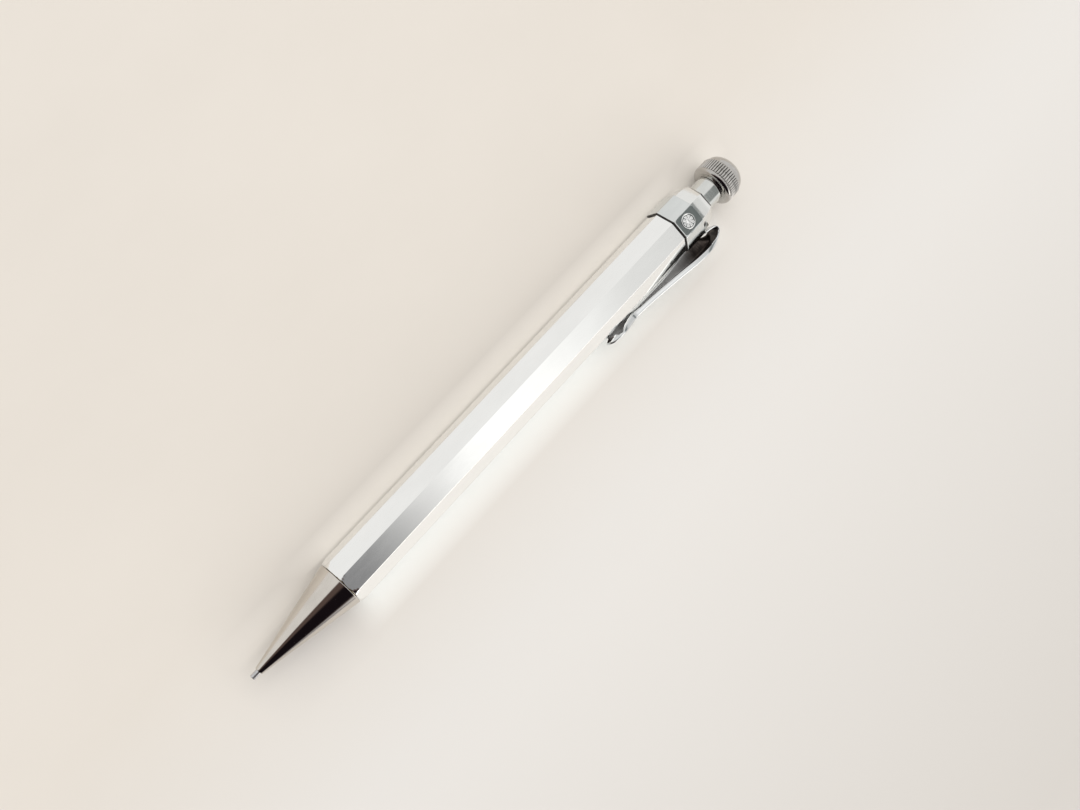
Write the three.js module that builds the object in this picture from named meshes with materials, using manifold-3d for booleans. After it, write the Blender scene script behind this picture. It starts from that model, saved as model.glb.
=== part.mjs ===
// Push-button lead holder for fine lead: an octagonal metal barrel with a turned nose cone,
// a fixed lead sleeve, a three-jaw chuck, a banded pocket clip and a knurled push cap.
// Millimetres. The axis runs along X from the tip (-X) to the cap (+X), the flat facets face
// +Z, -Z, +Y and -Y, and the clip lies on the -Y side. The part lies on a facet at Z = 0.

import * as THREE from "three";
import * as BufferGeometryUtils from "three/addons/utils/BufferGeometryUtils.js";
import Module from "manifold-3d";

const wasm = await Module();
wasm.setup();

// ---- Driving dimensions; stations are along X, with X = 0 where the cone meets the barrel ----
const acrossFlats = 8.6;
const tipX = -20.2;
const coneFrontX = -18.8;
const barrelFrontX = 0.05;
const barrelBackX = 89.9;
const bandFrontX = 84.8;
const bandBackX = 89.85;
const bushBackX = 93.7;
const capFrontX = 97.3;
const capBackX = 103.45;
const coneFrontRadius = 0.7;
const coneBaseRadius = 4.41;
const bandThickness = 0.32;
const neckRadius = 2.72;
const capRadius = 4.2;
const boreRadius = 3.3;
const leadRadius = 0.25;
const leadLength = 60;
const slip = 0.05;
const knurlCount = 50;
const spareLeadCount = 3;
const jawCount = 3;

const apothem = acrossFlats / 2;
const bandApothem = apothem + bandThickness;
const bandSeatX = bandFrontX - 0.05;
const bandSeatApothem = apothem - 0.12;
const bandClearance = 0.05;
const coneSlope = (coneBaseRadius - coneFrontRadius) / -coneFrontX;
const roundSides = 32;
const smallSides = 16;

const finishes = {
  polished: { color: 0xd6d8d6, roughness: 0.16, metalness: 1.0 },
  chrome: { color: 0xc4c8c8, roughness: 0.08, metalness: 1.0 },
  steel: { color: 0x9a9da0, roughness: 0.3, metalness: 1.0 },
  brass: { color: 0xc9a552, roughness: 0.3, metalness: 1.0 },
  acetal: { color: 0xe6e2d8, roughness: 0.5, metalness: 0.0 },
  nitrile: { color: 0x2b2b2d, roughness: 0.8, metalness: 0.0 },
  eraser: { color: 0xf0efec, roughness: 0.9, metalness: 0.0 },
  graphite: { color: 0x3a3a3c, roughness: 0.45, metalness: 0.2 },
};

const part = new THREE.Group();

function addPiece(name, geometry, finish) {
  const material = new THREE.MeshStandardMaterial(finishes[finish]);
  const mesh = new THREE.Mesh(geometry, material);
  mesh.name = name;
  part.add(mesh);
  return mesh;
}

// ---- Solid helpers ----

function bare(geometry) {
  const copy = geometry.clone();
  copy.deleteAttribute("normal");
  copy.deleteAttribute("uv");
  return BufferGeometryUtils.mergeVertices(copy, 1e-5);
}

function signedVolume(geometry) {
  const position = geometry.getAttribute("position");
  const index = geometry.getIndex();
  const corners = [new THREE.Vector3(), new THREE.Vector3(), new THREE.Vector3()];
  let total = 0;
  for (let i = 0; i < index.count; i += 3) {
    corners.forEach((corner, k) => corner.fromBufferAttribute(position, index.getX(i + k)));
    total += corners[0].dot(corners[1].clone().cross(corners[2])) / 6;
  }
  return total;
}

// Drops the flat slivers that a lathe leaves on its axis and turns the faces outwards.
function closed(geometry) {
  const merged = bare(geometry);
  const index = merged.getIndex();
  const kept = [];
  for (let i = 0; i < index.count; i += 3) {
    const [a, b, c] = [index.getX(i), index.getX(i + 1), index.getX(i + 2)];
    if (a !== b && b !== c && c !== a) kept.push(a, b, c);
  }
  merged.setIndex(kept);
  if (signedVolume(merged) < 0) {
    for (let i = 0; i < kept.length; i += 3) {
      [kept[i + 1], kept[i + 2]] = [kept[i + 2], kept[i + 1]];
    }
    merged.setIndex(kept);
  }
  return merged;
}

function toManifold(geometry) {
  const solid = closed(geometry);
  const mesh = new wasm.Mesh({
    numProp: 3,
    vertProperties: new Float32Array(solid.getAttribute("position").array),
    triVerts: new Uint32Array(solid.getIndex().array),
  });
  return new wasm.Manifold(mesh);
}

function toGeometry(manifold) {
  const mesh = manifold.getMesh();
  const geometry = new THREE.BufferGeometry();
  geometry.setAttribute("position", new THREE.BufferAttribute(mesh.vertProperties, 3));
  geometry.setIndex(new THREE.BufferAttribute(mesh.triVerts, 1));
  geometry.computeVertexNormals();
  return geometry;
}

const join = (first, ...rest) =>
  toGeometry(rest.reduce((sum, next) => sum.add(toManifold(next)), toManifold(first)));
const cut = (first, ...rest) =>
  toGeometry(rest.reduce((sum, next) => sum.subtract(toManifold(next)), toManifold(first)));
const overlap = (first, second) => toGeometry(toManifold(first).intersect(toManifold(second)));

// A turned piece about X from [x, radius] points. An open profile starts and ends on the axis.
function turned(profile, sides = roundSides) {
  const points = profile.map(([x, radius]) => new THREE.Vector2(radius, x));
  const geometry = new THREE.LatheGeometry(points, sides);
  geometry.rotateZ(-Math.PI / 2);
  return closed(geometry);
}

// A turned ring or tube from a closed profile.
function ring(profile, sides = roundSides) {
  return turned([...profile, profile[0]], sides);
}

function tube(startX, endX, outerRadius, innerRadius, sides = roundSides) {
  return ring(
    [[startX, innerRadius], [startX, outerRadius], [endX, outerRadius], [endX, innerRadius]],
    sides,
  );
}

function rod(startX, endX, radius, sides = roundSides) {
  return turned([[startX, 0], [startX, radius], [endX, radius], [endX, 0]], sides);
}

// A bar along X whose flats face +Z, -Z, +Y and -Y.
function octagonBar(startX, endX, flatRadius) {
  const cornerRadius = flatRadius / Math.cos(Math.PI / 8);
  const geometry = new THREE.CylinderGeometry(cornerRadius, cornerRadius, endX - startX, 8);
  geometry.rotateY(Math.PI / 8);
  geometry.rotateZ(-Math.PI / 2);
  geometry.translate((startX + endX) / 2, 0, 0);
  return closed(geometry);
}

// A shape drawn in X and Y, thickened evenly above and below Z = 0.
function plate(shape, thickness, curveSegments = 8) {
  const options = { depth: thickness, bevelEnabled: false, curveSegments };
  return new THREE.ExtrudeGeometry(shape, options).translate(0, 0, -thickness / 2);
}

// ---- Barrel and nose ----

function coneRadius(x) {
  return coneBaseRadius + coneSlope * x;
}

// The cone's turned surface carries on over the barrel's corners, and the facets step down
// under the band.
function makeBarrel() {
  const chamferEndX = (apothem / Math.cos(Math.PI / 8) - coneBaseRadius) / coneSlope + 0.5;
  const envelope = turned([
    [barrelFrontX, 0],
    [barrelFrontX, coneRadius(barrelFrontX)],
    [chamferEndX, coneRadius(chamferEndX)],
    [barrelBackX + 1, coneRadius(chamferEndX)],
    [barrelBackX + 1, 0],
  ], 64);
  const facets = octagonBar(barrelFrontX, bandSeatX, apothem);
  const seat = octagonBar(bandSeatX - 1, barrelBackX, bandSeatApothem);
  const bar = overlap(join(facets, seat), envelope);
  return cut(bar, rod(barrelFrontX - 1, barrelBackX + 1, boreRadius));
}

const sleeveRadius = 0.5;
const sleeveBackX = -14.5;
const retainerFrontX = -14;
const retainerBackX = -11.6;
const retainerRadius = 0.9;
const chuckBoreX = -10.6;
const chuckBoreRadius = 1.6;
const ringBoreX = -5.45;
const ringBoreRadius = 2.0;
const counterboreX = -3;
const counterboreRadius = 3.3;

function makeNoseCone() {
  const backX = -0.05;
  return ring([
    [coneFrontX, sleeveRadius + slip],
    [coneFrontX, coneFrontRadius],
    [backX, coneRadius(backX)],
    [backX, counterboreRadius],
    [counterboreX, counterboreRadius],
    [counterboreX, ringBoreRadius],
    [ringBoreX, ringBoreRadius],
    [ringBoreX, chuckBoreRadius],
    [chuckBoreX, chuckBoreRadius],
    [chuckBoreX, retainerRadius + slip],
    [retainerFrontX - 0.1, retainerRadius + slip],
    [retainerFrontX - 0.1, sleeveRadius + slip],
  ], 48);
}

function makeLeadSleeve() {
  const bore = leadRadius + 0.07;
  return ring([
    [tipX, bore],
    [tipX, sleeveRadius - 0.08],
    [tipX + 0.08, sleeveRadius],
    [sleeveBackX, sleeveRadius],
    [sleeveBackX, bore],
  ], smallSides);
}

function makeLeadRetainer() {
  return tube(retainerFrontX, retainerBackX, retainerRadius, leadRadius + 0.06, smallSides);
}

// ---- Chuck and its housing ----

const connectorFrontX = counterboreX + 0.1;
const springSeatX = 6;
const springSeatDepth = 1.2;
const connectorBackX = 11;
const connectorRadius = counterboreRadius - 0.12;

function makeFrontConnector() {
  const seatBore = 1.45;
  const springBore = 2.3;
  return ring([
    [connectorFrontX, ringBoreRadius],
    [connectorFrontX, connectorRadius],
    [connectorBackX, connectorRadius],
    [connectorBackX, springBore],
    [springSeatX, springBore],
    [springSeatX, seatBore],
    [springSeatX - springSeatDepth, seatBore],
    [springSeatX - springSeatDepth, ringBoreRadius],
  ]);
}

const jawFrontX = -6;
const jawHeadX = -4.2;
const jawRootX = 0.8;
const jawStemRadius = 0.95;
const jawHeadRadius = 1.3;
const jawGap = 0.24;
const chuckStemRadius = 1.1;
const leadTubeFrontX = 14;
const chuckBackX = 20;
const pinch = leadRadius + 0.05;

// One third of the collet: a turned blank with the other two thirds and the slots cut away.
function makeJaw(number) {
  const blank = ring([
    [jawFrontX, pinch],
    [jawFrontX, jawHeadRadius - 0.2],
    [jawFrontX + 0.3, jawHeadRadius],
    [jawHeadX - 0.4, jawHeadRadius],
    [jawHeadX, jawStemRadius],
    [jawRootX, jawStemRadius],
    [jawRootX, pinch],
  ], 24);
  const half = Math.PI / jawCount;
  const reach = 4;
  const apex = jawGap / 2 / Math.sin(half);
  const wedge = new THREE.Shape();
  wedge.moveTo(apex, 0);
  wedge.lineTo(apex + reach * Math.cos(half), reach * Math.sin(half));
  wedge.lineTo(apex + reach * Math.cos(half), -reach * Math.sin(half));
  wedge.closePath();
  const sector = plate(wedge, 2 * (jawRootX - jawFrontX));
  sector.rotateY(Math.PI / 2);
  sector.rotateX(number * 2 * half);
  return overlap(blank, sector);
}

function makeChuckBody() {
  const startX = jawRootX + 0.2;
  const plugRadius = 1.4;
  const bore = 0.45;
  return ring([
    [startX, bore],
    [startX, chuckStemRadius],
    [leadTubeFrontX - 0.1, chuckStemRadius],
    [leadTubeFrontX - 0.1, plugRadius],
    [chuckBackX, plugRadius],
    [chuckBackX, bore],
  ], 24);
}

const clutchRingFrontX = -3.9;
const clutchRingLength = 2.2;

function makeClutchRing() {
  const endX = clutchRingFrontX + clutchRingLength;
  return tube(clutchRingFrontX, endX, ringBoreRadius - 0.15, jawStemRadius + 0.2, 24);
}

const springRadius = 1.62;
const springWire = 0.13;
const springTurns = 9;

// A coil spring between the seat in the connector and the lead tube's front face.
function makeReturnSpring() {
  class Coil extends THREE.Curve {
    getPoint(t, target = new THREE.Vector3()) {
      const angle = t * springTurns * 2 * Math.PI;
      const endGap = springWire + slip;
      const span = leadTubeFrontX - springSeatX - 2 * endGap;
      const x = springSeatX + endGap + t * span;
      return target.set(x, springRadius * Math.cos(angle), springRadius * Math.sin(angle));
    }
  }
  const section = new THREE.Shape();
  section.absarc(0, 0, springWire, 0, 2 * Math.PI);
  const options = { extrudePath: new Coil(), steps: springTurns * 12, curveSegments: 3 };
  return closed(new THREE.ExtrudeGeometry(section, { ...options, bevelEnabled: false }));
}

// ---- Lead store and push cap ----

const leadTubeRadius = 1.95;
const leadTubeBore = 1.5;
const leadTubeBackX = 86;
const neckBore = leadTubeRadius + 0.1;
const neckFrontX = 83;

function makeSpareLead(number) {
  const startX = chuckBackX + 1 + 0.6 * number;
  const angle = number * 2 * Math.PI / spareLeadCount;
  const offset = 0.85;
  const lead = rod(startX, startX + leadLength, leadRadius, 8);
  return lead.translate(0, offset * Math.cos(angle), offset * Math.sin(angle));
}

function makeNeck() {
  return ring([
    [neckFrontX, neckBore],
    [neckFrontX, neckRadius],
    [capFrontX - 0.05, neckRadius],
    [capFrontX - 0.05, neckBore],
  ]);
}

const collarFrontX = 83.4;
const collarLength = 1.2;

function makeStopCollar() {
  return tube(collarFrontX, collarFrontX + collarLength, boreRadius - 0.15, neckRadius + slip);
}

function makeEraser() {
  const startX = leadTubeBackX + 0.3;
  const length = 5.3;
  return rod(startX, startX + length, neckBore - 0.12, 24);
}

const plugFrontX = 92;
const plugRadius = neckBore - 0.12;
const gripFrontX = 93.6;
const gripLength = 0.9;
const gripGrooveRadius = 1.5;

function knurledDisc(startX, endX, rootRadius, crestRadius) {
  const outline = new THREE.Shape();
  for (let i = 0; i < 2 * knurlCount; i += 1) {
    const angle = i * Math.PI / knurlCount;
    const radius = i % 2 === 0 ? crestRadius : rootRadius;
    const [a, b] = [radius * Math.cos(angle), radius * Math.sin(angle)];
    if (i === 0) outline.moveTo(a, b);
    else outline.lineTo(a, b);
  }
  outline.closePath();
  const disc = plate(outline, endX - startX);
  return disc.rotateY(Math.PI / 2).translate((startX + endX) / 2, 0, 0);
}

// Round underside, a narrow groove, a straight-knurled band and a low dome, with a plug below.
function makeKnurledCap() {
  const underLength = 0.8;
  const knurlLength = 2.5;
  const rimX = capFrontX + underLength;
  const grooveX = rimX + 0.12;
  const knurlStartX = grooveX + 0.03;
  const knurlEndX = knurlStartX + knurlLength;
  const grooveRadius = capRadius - 0.28;
  const domeRadius = capRadius - 0.12;
  const profile = [
    [plugFrontX, 0],
    [plugFrontX, plugRadius - 0.2],
    [plugFrontX + 0.2, plugRadius],
    [gripFrontX - 0.1, plugRadius],
    [gripFrontX - 0.1, gripGrooveRadius],
    [gripFrontX + gripLength + 0.1, gripGrooveRadius],
    [gripFrontX + gripLength + 0.1, plugRadius],
    [capFrontX, plugRadius],
  ];
  const underRadius = neckRadius + 0.15;
  for (let i = 0; i <= 5; i += 1) {
    const angle = i / 5 * Math.PI / 2;
    const x = rimX - (rimX - capFrontX) * Math.cos(angle);
    profile.push([x, underRadius + (capRadius - underRadius) * Math.sin(angle)]);
  }
  profile.push([grooveX - 0.1, capRadius - 0.02], [grooveX, grooveRadius]);
  profile.push([knurlEndX - 0.1, grooveRadius]);
  for (let i = 0; i <= 7; i += 1) {
    const angle = i / 7 * Math.PI / 2;
    const x = knurlEndX + (capBackX - knurlEndX) * Math.sin(angle);
    profile.push([x, domeRadius * Math.cos(angle)]);
  }
  profile[profile.length - 1][1] = 0;
  return join(turned(profile), knurledDisc(knurlStartX, knurlEndX, capRadius - 0.18, capRadius));
}

// A split ring that grips the neck's bore.
function makeGripRing() {
  const full = tube(gripFrontX, gripFrontX + gripLength, neckBore - 0.05, gripGrooveRadius + 0.1, 24);
  const slot = new THREE.BoxGeometry(gripLength + 1, 0.6, 2 * neckBore);
  slot.translate(gripFrontX + gripLength / 2, 0, neckBore);
  return cut(full, slot);
}

// ---- Top bush, band and clip ----

// A faceted dome that closes the barrel's end, with a spigot that guides the neck.
function makeEndBush() {
  const shoulderX = barrelBackX + 0.05;
  const spigotX = collarFrontX + collarLength + 0.3;
  const endRadius = neckRadius + 0.2;
  const layers = 6;
  const steps = [];
  for (let i = 0; i <= layers; i += 1) {
    const rise = i / layers * (bushBackX - shoulderX);
    const fall = Math.sqrt(1 - (i / layers) ** 2);
    steps.push([shoulderX + rise, endRadius + (apothem - bandClearance - endRadius) * fall]);
  }
  const profile = [[spigotX, 0], [spigotX, boreRadius - 0.1], [shoulderX, boreRadius - 0.1]];
  const spigot = turned([...profile, [shoulderX, 0]]);
  const dome = octagonLoft(steps);
  return cut(join(spigot, dome), rod(spigotX - 1, bushBackX + 1, neckRadius + 0.1));
}

// Stacked octagons along X, each [x, distance from the axis to a flat].
function octagonLoft(layers) {
  const cornerScale = 1 / Math.cos(Math.PI / 8);
  const profile = layers.map(([x, flatRadius]) => [x, flatRadius * cornerScale]);
  const lastX = profile[profile.length - 1][0];
  const points = [[profile[0][0], 0], ...profile, [lastX, 0]];
  return turned(points, 8).rotateX(Math.PI / 8);
}

function makeClipBand() {
  const outer = octagonBar(bandFrontX, bandBackX, bandApothem);
  return cut(outer, octagonBar(bandFrontX - 1, bandBackX + 1, bandSeatApothem + bandClearance));
}

const clipSheet = 0.36;
const clipRootX = bandBackX + 0.25;
const clipFoldX = 92.5;
const clipFoldBulge = 0.15;
const clipFoldMiddle = 5.55;
const clipJoinX = 89.2;
const clipToeX = 62.0;
const clipRootHalfWidth = 1.8;
const clipBend = 0.45;

// The pressed channel, from the toe to the fold: each row is a station, the outer face's
// distance from the axis, the half width, the flange's depth and the curl below the flange.
const clipStations = [
  [clipToeX, 6.1, 0.9, 1.1, 0.35],
  [63.2, 6.45, 1.3, 1.6, 0.7],
  [65.0, 6.6, 1.5, 1.8, 0.85],
  [66.9, 6.55, 1.35, 1.65, 0.65],
  [69.0, 6.42, 1.0, 1.25, 0.15],
  [70.8, 6.45, 1.05, 1.15, 0.05],
  [74.4, 6.68, 1.35, 1.15, 0.05],
  [79.1, 7.12, 1.75, 1.2, 0.05],
  [81.9, 7.44, 1.95, 1.25, 0.05],
  [84.8, 7.8, 2.1, 1.25, 0.05],
  [87.7, 7.95, 2.15, 1.15, 0.05],
  [89.7, 7.75, 2.1, 0.9, 0.05],
  [91.2, 7.3, 2.05, 0.6, 0.05],
  [clipFoldX, 6.0, 1.95, 0.45, 0.05],
];

function clipCurve(column) {
  return new THREE.SplineCurve(clipStations.map((row) => new THREE.Vector2(row[0], row[column])));
}

// Half of a sheet section from the middle of its outer face, as [depth, height] points with
// their outward normals: across the face, round the bend, down the flange and in along the curl.
function halfSection(halfWidth, flange, curl, steps) {
  const lowBend = Math.min(clipBend, Math.max(curl, 0.05));
  const quarter = Math.PI / 2;
  const across = halfWidth - clipBend;
  const down = Math.max(flange - clipBend - lowBend, 0.02);
  const under = Math.max(curl - lowBend, 0.01);
  const lengths = [across, quarter * clipBend, down, quarter * lowBend, under];
  const total = lengths.reduce((sum, length) => sum + length, 0);
  const points = [];
  for (let i = 0; i <= steps; i += 1) {
    let along = i / steps * total;
    let leg = 0;
    while (leg < lengths.length - 1 && along > lengths[leg]) {
      along -= lengths[leg];
      leg += 1;
    }
    const turn = along / (leg === 1 ? clipBend : lowBend);
    const depthOfCurl = clipBend + down + lowBend;
    if (leg === 0) points.push([0, along, -1, 0]);
    if (leg === 1) {
      const [s, c] = [Math.sin(turn), Math.cos(turn)];
      points.push([clipBend * (1 - c), across + clipBend * s, -c, s]);
    }
    if (leg === 2) points.push([clipBend + along, halfWidth, 0, 1]);
    if (leg === 3) {
      const [s, c] = [Math.sin(turn), Math.cos(turn)];
      points.push([clipBend + down + lowBend * s, halfWidth - lowBend * (1 - c), s, c]);
    }
    if (leg === 4) points.push([depthOfCurl, halfWidth - lowBend - along, 1, 0]);
  }
  return points;
}

// A closed shell through sheet sections of one point count, capped at both ends.
function loftSections(sections) {
  const count = sections[0].length;
  const position = sections.flat(2);
  const index = [];
  for (let row = 0; row < sections.length - 1; row += 1) {
    for (let k = 0; k < count; k += 1) {
      const [a, b] = [row * count + k, row * count + (k + 1) % count];
      index.push(a, b, b + count, a, b + count, a + count);
    }
  }
  const lastRow = (sections.length - 1) * count;
  for (let k = 0; k < count / 2 - 1; k += 1) {
    const [a, b, c, d] = [k, k + 1, count - 2 - k, count - 1 - k];
    index.push(a, c, b, a, d, c);
    index.push(lastRow + a, lastRow + b, lastRow + c, lastRow + a, lastRow + c, lastRow + d);
  }
  const geometry = new THREE.BufferGeometry();
  geometry.setAttribute("position", new THREE.BufferAttribute(new Float32Array(position), 3));
  geometry.setIndex(index);
  return closed(geometry);
}

// The toe's flanges stop short of its lip, which leaves the hollow open towards the tip.
function toeScallop(x, share) {
  const reach = Math.max(0, 1 - (x - clipToeX) / 3.5);
  return 2.0 * reach * Math.exp(-(((share - 0.5) / 0.2) ** 2));
}

function makeClipChannel() {
  const steps = 9;
  const rows = 27;
  const curves = [1, 2, 3, 4].map(clipCurve);
  const spans = curves.map((curve) => curve.getPoints(400));
  const valueAt = (span, x) => span.find((point) => point.x >= x).y;
  const sections = [];
  for (let row = 0; row < rows; row += 1) {
    const x = clipToeX + row / (rows - 1) * (clipJoinX + 0.8 - clipToeX);
    const [distance, halfWidth, flange, curl] = spans.map((span) => valueAt(span, x));
    const half = halfSection(halfWidth, flange, curl, steps);
    const shift = (i) => x + toeScallop(x, i / steps);
    const outer = half.map(([depth, height], i) => [shift(i), depth - distance, height]);
    const inner = half.map(([depth, height, nd, nh], i) =>
      [shift(i), depth - distance - nd * clipSheet, height - nh * clipSheet]);
    const mirrored = (points) => points.slice(1).reverse().map(([a, b, c]) => [a, b, -c]);
    const outside = [...mirrored(outer), ...outer];
    const inside = [...mirrored(inner), ...inner].reverse();
    sections.push([...outside, ...inside]);
  }
  return loftSections(sections);
}

// The hairpin fold that joins the channel to the band, drawn in X and Y.
function clipFoldProfile() {
  const outer = clipCurve(1).getPoints(80).filter((point) => point.x > clipJoinX);
  const rootTop = bandApothem + 0.02;
  const start = outer[0];
  const shape = new THREE.Shape();
  shape.moveTo(start.x, -start.y);
  outer.slice(1).forEach((point) => shape.lineTo(point.x, -point.y));
  shape.lineTo(clipFoldX + clipFoldBulge, -clipFoldMiddle);
  shape.lineTo(clipFoldX - 0.1, -rootTop - 0.2);
  shape.lineTo(clipRootX, -rootTop + 0.28);
  shape.lineTo(clipRootX, -rootTop - 0.1);
  shape.lineTo(clipFoldX - 0.75, -rootTop - 0.6);
  shape.lineTo(clipFoldX - 1.2, -start.y + 0.95);
  shape.lineTo(start.x, -start.y + clipSheet);
  shape.closePath();
  return shape;
}

function makeClipTongue() {
  const edge = clipCurve(2).getPoints(80).filter((point) => point.x > clipJoinX - 0.5);
  const upper = edge.map((point) => new THREE.Vector2(point.x, point.y - 0.05));
  upper.push(new THREE.Vector2(clipFoldX + 0.5, clipRootHalfWidth));
  const lower = upper.map((point) => new THREE.Vector2(point.x, -point.y)).reverse();
  const plan = plate(new THREE.Shape([...upper, ...lower]), 8);
  plan.rotateX(Math.PI / 2).translate(0, -bandApothem, 0);
  return join(makeClipChannel(), overlap(plate(clipFoldProfile(), 8), plan));
}

// ---- Assembly ----

addPiece("barrel", makeBarrel(), "polished");
addPiece("nose_cone", makeNoseCone(), "chrome");
addPiece("lead_sleeve", makeLeadSleeve(), "steel");
addPiece("lead_retainer", makeLeadRetainer(), "nitrile");
addPiece("front_connector", makeFrontConnector(), "brass");
addPiece("clutch_ring", makeClutchRing(), "brass");
for (let number = 0; number < jawCount; number += 1) {
  addPiece(`chuck_jaw_${number + 1}`, makeJaw(number), "brass");
}
addPiece("chuck_body", makeChuckBody(), "brass");
addPiece("return_spring", makeReturnSpring(), "steel");
addPiece("working_lead", rod(tipX + 0.1, tipX + 0.1 + leadLength, leadRadius, 12), "graphite");
for (let number = 0; number < spareLeadCount; number += 1) {
  addPiece(`spare_lead_${number + 1}`, makeSpareLead(number), "graphite");
}
addPiece("lead_tube", tube(leadTubeFrontX, leadTubeBackX, leadTubeRadius, leadTubeBore, 24), "acetal");
addPiece("push_neck", makeNeck(), "chrome");
addPiece("stop_collar", makeStopCollar(), "brass");
addPiece("eraser", makeEraser(), "eraser");
addPiece("cap_grip_ring", makeGripRing(), "steel");
addPiece("knurled_cap", makeKnurledCap(), "chrome");
addPiece("end_bush", makeEndBush(), "polished");
addPiece("clip_band", makeClipBand(), "chrome");
addPiece("clip_tongue", makeClipTongue(), "chrome");

// The origin is at the bottom centre of the whole part's box.
const box = new THREE.Box3().setFromObject(part);
const middle = box.getCenter(new THREE.Vector3());
part.position.set(-middle.x, -middle.y, -box.min.z);

export default part;
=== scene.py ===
import math

import bmesh
import bpy
from mathutils import Matrix, Vector


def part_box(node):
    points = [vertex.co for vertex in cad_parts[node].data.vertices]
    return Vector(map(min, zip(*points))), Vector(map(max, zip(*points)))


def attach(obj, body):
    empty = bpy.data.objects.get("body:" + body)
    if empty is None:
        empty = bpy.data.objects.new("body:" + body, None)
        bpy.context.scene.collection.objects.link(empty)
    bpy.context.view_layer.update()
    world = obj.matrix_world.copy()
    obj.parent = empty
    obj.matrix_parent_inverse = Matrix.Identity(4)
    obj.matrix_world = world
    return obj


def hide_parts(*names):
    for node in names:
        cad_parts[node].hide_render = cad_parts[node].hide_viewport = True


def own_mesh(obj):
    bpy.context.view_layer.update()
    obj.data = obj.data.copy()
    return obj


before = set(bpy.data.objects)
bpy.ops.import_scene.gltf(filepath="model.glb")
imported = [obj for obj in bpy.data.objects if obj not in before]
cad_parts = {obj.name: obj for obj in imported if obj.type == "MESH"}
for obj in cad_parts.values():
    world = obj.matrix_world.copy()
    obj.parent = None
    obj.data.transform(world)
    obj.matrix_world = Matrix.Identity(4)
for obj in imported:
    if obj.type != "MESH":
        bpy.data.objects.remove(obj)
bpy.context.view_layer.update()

# Everything below is in metres; MM turns millimetres into metres.
MM = 0.001
TURN = 2 * math.pi
QUARTER = TURN / 4
EIGHTH = TURN / 8
SMOOTH_ANGLE = 32  # degrees; edges sharper than this stay hard
SOFT_EDGE = 0.05 * MM  # the usual rounding of a turned corner


# ---------------------------------------------------------------- places taken from the frame


def span(node):
    low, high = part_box(node)
    return low.x, high.x


def reach(node):
    """The outer radius of a turned node."""
    low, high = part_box(node)
    return (high.z - low.z) / 2


neck_low, neck_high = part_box("push_neck")
AXIS = Vector((0, (neck_low.y + neck_high.y) / 2, (neck_low.z + neck_high.z) / 2))
BARREL_FRONT, BARREL_BACK = span("barrel")
BAND_FRONT, BAND_BACK = span("clip_band")
BARREL_FLAT = reach("barrel")
BAND_FLAT = reach("clip_band")


# ---------------------------------------------------------------- mesh helpers


def on_axis(x, y, z):
    """A point given by its X, and its offsets in Y and Z from the holder's axis."""
    return Vector((x, AXIS.y + y, AXIS.z + z))


def around(x, radius, angle):
    """A point at a distance from the axis. The angle runs from +Z towards +Y."""
    return on_axis(x, radius * math.sin(angle), radius * math.cos(angle))


def circle(x, radius, angles):
    return [around(x, radius, angle) for angle in angles]


def even_angles(count):
    return [TURN * i / count for i in range(count)]


def make_object(name, points, faces, smooth_angle):
    mesh = bpy.data.meshes.new(name)
    mesh.from_pydata([tuple(p) for p in points], [], faces)
    mesh.validate()
    mesh.update()
    piece = bpy.data.objects.new(name, mesh)
    bpy.context.scene.collection.objects.link(piece)
    face_outwards(piece)
    mesh.shade_smooth()
    mesh.set_sharp_from_angle(angle=math.radians(smooth_angle))
    weighted = piece.modifiers.new("weighted_normals", "WEIGHTED_NORMAL")
    weighted.keep_sharp = True
    return piece


def face_outwards(piece):
    work = bmesh.new()
    work.from_mesh(piece.data)
    bmesh.ops.recalc_face_normals(work, faces=work.faces)
    if work.calc_volume(signed=True) < 0:
        bmesh.ops.reverse_faces(work, faces=work.faces)
    work.to_mesh(piece.data)
    work.free()


def loft(name, sections, ring=False, smooth_angle=SMOOTH_ANGLE):
    """Skins loops of equal length. A ring joins the last loop to the first, and otherwise both
    ends are capped."""
    count = len(sections[0])
    points = [p for loop in sections for p in loop]
    faces = []
    rows = len(sections)
    for row in range(rows if ring else rows - 1):
        here, there = row * count, (row + 1) % rows * count
        for i in range(count):
            j = (i + 1) % count
            faces.append((here + i, here + j, there + j, there + i))
    if not ring:
        for row, order in ((0, 1), (rows - 1, -1)):
            loop = sections[row]
            centre = sum(loop, Vector()) / count
            points.append(centre)
            hub = len(points) - 1
            for i in range(count):
                pair = (row * count + i, row * count + (i + 1) % count)
                faces.append((hub, *pair[::order]))
    return make_object(name, points, faces, smooth_angle)


def rounded(profile, radius, ring=False):
    """Replaces each corner of an [x, radius] outline with a small arc."""
    steps = 4
    most_of_side = 0.45
    result = []
    count = len(profile)
    for i, (x, r) in enumerate(profile):
        if not ring and i in (0, count - 1):
            result.append((x, r))
            continue
        here = Vector((x, r))
        before = Vector(profile[i - 1]) - here
        after = Vector(profile[(i + 1) % count]) - here
        size = min(radius, before.length * most_of_side, after.length * most_of_side)
        start = here + before.normalized() * size
        end = here + after.normalized() * size
        for k in range(steps + 1):
            t = k / steps
            point = start.lerp(here, t).lerp(here.lerp(end, t), t)
            result.append((point.x, point.y))
    return result


def turned_ring(name, profile, sides=96, edge=SOFT_EDGE):
    """A hollow piece turned about the axis from the closed [x, radius] outline of its wall."""
    angles = even_angles(sides)
    outline = rounded(profile, edge, ring=True)
    return loft(name, [circle(x, r, angles) for x, r in outline], ring=True)


def tube(name, node, bore, sides=96, edge=SOFT_EDGE):
    """A plain turned tube with a CAD node's length and outer radius."""
    start, end = span(node)
    outer = reach(node)
    profile = [(start, bore), (start, outer), (end, outer), (end, bore)]
    return turned_ring(name, profile, sides, edge)


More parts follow.
